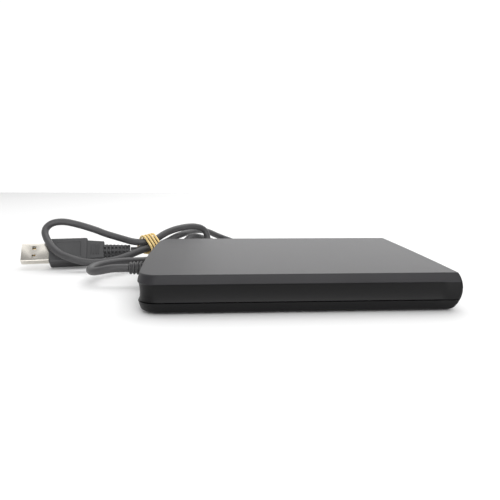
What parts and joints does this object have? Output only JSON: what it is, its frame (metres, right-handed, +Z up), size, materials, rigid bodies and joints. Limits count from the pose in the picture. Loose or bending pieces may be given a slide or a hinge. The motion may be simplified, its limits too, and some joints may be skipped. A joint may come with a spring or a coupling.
{
  "type": "external floppy disk drive",
  "caption": "Flat external disk drive with a slotted front, captive cord and plug, and a complete loading, spindle and head mechanism inside.",
  "frame": {"origin": "on the table under the middle of the case's bounding box", "axes": "+X out of the front with the disk slot, +Y across the case, +Z up"},
  "size_m": [0.2248, 0.1776, 0.0286],
  "materials": {
    "case_plastic": "fine matte texture, dark grey",
    "trim_plastic": "matte, near black",
    "lamp_plastic": "clear green tint",
    "foot_rubber": "soft matte",
    "sheet_steel": "plated sheet",
    "spring_steel": "drawn wire",
    "brass": "plain",
    "magnet_grey": "moulded, dark",
    "board_green": "lacquered board",
    "black_plastic": "moulded",
    "white_plastic": "moulded, off white",
    "cord_rubber": "satin, dark grey",
    "plug_steel": "bright plated",
    "band_rubber": "tan, dull"
  },
  "bodies": {
    "case": {"top_cover": "case_plastic", "bottom_cover": "case_plastic", "front_bezel": "trim_plastic", "led_lens": "lamp_plastic", "rubber_foot_1": "foot_rubber", "rubber_foot_2": "foot_rubber", "rubber_foot_3": "foot_rubber", "rubber_foot_4": "foot_rubber", "case_screw_1": "sheet_steel", "case_screw_2": "sheet_steel", "case_screw_3": "sheet_steel", "case_screw_4": "sheet_steel", "chassis": "sheet_steel", "shield_cover": "sheet_steel", "latch_post": "sheet_steel", "latch_spring": "spring_steel", "door_spring": "spring_steel", "slide_spring_left": "spring_steel", "slide_spring_right": "spring_steel", "stator": "brass", "motor_board": "board_green", "spindle_bearing": "brass", "guide_rod": "sheet_steel", "stepper_motor": "sheet_steel", "screw_bearing": "sheet_steel", "control_board": "board_green", "controller_chip": "black_plastic", "bridge_chip": "black_plastic", "crystal": "sheet_steel", "cord_socket": "white_plastic", "sensor_board": "board_green", "write_switch": "black_plastic", "density_switch": "black_plastic", "disk_switch": "black_plastic", "activity_led": "lamp_plastic", "cord_relief": "cord_rubber", "cord_lead": "cord_rubber", "usb_cord": "cord_rubber", "plug_body": "cord_rubber", "plug_shell": "plug_steel", "plug_tongue": "white_plastic", "cable_band": "band_rubber"},
    "slide": {"eject_slide": "sheet_steel", "eject_button": "trim_plastic"},
    "cage": {"disk_cage": "sheet_steel"},
    "carriage": {"head_carriage": "magnet_grey", "lower_head": "white_plastic", "carriage_needle": "spring_steel"},
    "upper_arm": {"upper_head_arm": "magnet_grey", "upper_head": "white_plastic"},
    "screw": {"lead_screw": "sheet_steel"},
    "spindle": {"spindle_rotor": "sheet_steel", "rotor_magnet": "magnet_grey", "spindle_hub": "sheet_steel"},
    "latch": {"latch_lever": "sheet_steel"},
    "door": {"disk_door": "trim_plastic"},
    "write_pin": {"write_plunger": "white_plastic"},
    "density_pin": {"density_plunger": "white_plastic"},
    "disk_pin": {"disk_plunger": "white_plastic"}
  },
  "joints": [
    {"name": "eject_slide_travel", "type": "slide", "parent": "case", "child": "slide", "axis": [1, 0, 0], "range_m": [0, 0.0045], "deforming": ["slide_spring_left", "slide_spring_right"]},
    {"name": "cage_lift", "type": "slide", "parent": "case", "child": "cage", "axis": [0, 0, -1], "range_m": [0, 0.0021]},
    {"name": "carriage_slide", "type": "slide", "parent": "case", "child": "carriage", "axis": [1, 0, 0], "range_m": [0, 0.0148]},
    {"name": "upper_arm_pivot", "type": "hinge", "parent": "carriage", "child": "upper_arm", "pos_m": [-0.043, 0, 0.0136], "axis": [0, 1, 0], "range_deg": [0, 8.6]},
    {"name": "lead_screw_turn", "type": "hinge", "parent": "case", "child": "screw", "pos_m": [-0.047, 0.012, 0.0093], "axis": [1, 0, 0], "range_deg": [-1780, 0]},
    {"name": "spindle_spin", "type": "hinge", "parent": "case", "child": "spindle", "pos_m": [0.0205, 0, 0.007], "axis": [0, 0, 1], "continuous": true},
    {"name": "latch_turn", "type": "hinge", "parent": "case", "child": "latch", "pos_m": [-0.031, -0.036, 0.014], "axis": [0, 0, 1], "range_deg": [0, 24], "stiffness_Nm_per_rad": 0.01, "deforming": ["latch_spring"]},
    {"name": "door_swing", "type": "hinge", "parent": "case", "child": "door", "pos_m": [0.06675, 0, 0.0136], "axis": [0, 1, 0], "range_deg": [0, 82], "stiffness_Nm_per_rad": 0.002, "deforming": ["door_spring"]},
    {"name": "write_plunger_press", "type": "slide", "parent": "case", "child": "write_pin", "axis": [0, 0, -1], "range_m": [0, 0.001], "stiffness_N_per_m": 100},
    {"name": "density_plunger_press", "type": "slide", "parent": "case", "child": "density_pin", "axis": [0, 0, -1], "range_m": [0, 0.001], "stiffness_N_per_m": 100},
    {"name": "disk_plunger_press", "type": "slide", "parent": "case", "child": "disk_pin", "axis": [0, 0, -1], "range_m": [0, 0.001], "stiffness_N_per_m": 100}
  ],
  "couplings": [
    {"joint": "cage_lift", "follows": "eject_slide_travel", "ratio": 0.4444},
    {"joint": "upper_arm_pivot", "follows": "eject_slide_travel", "rad_per_m": 32.967},
    {"joint": "lead_screw_turn", "follows": "carriage_slide", "rad_per_m": -2094.4}
  ]
}
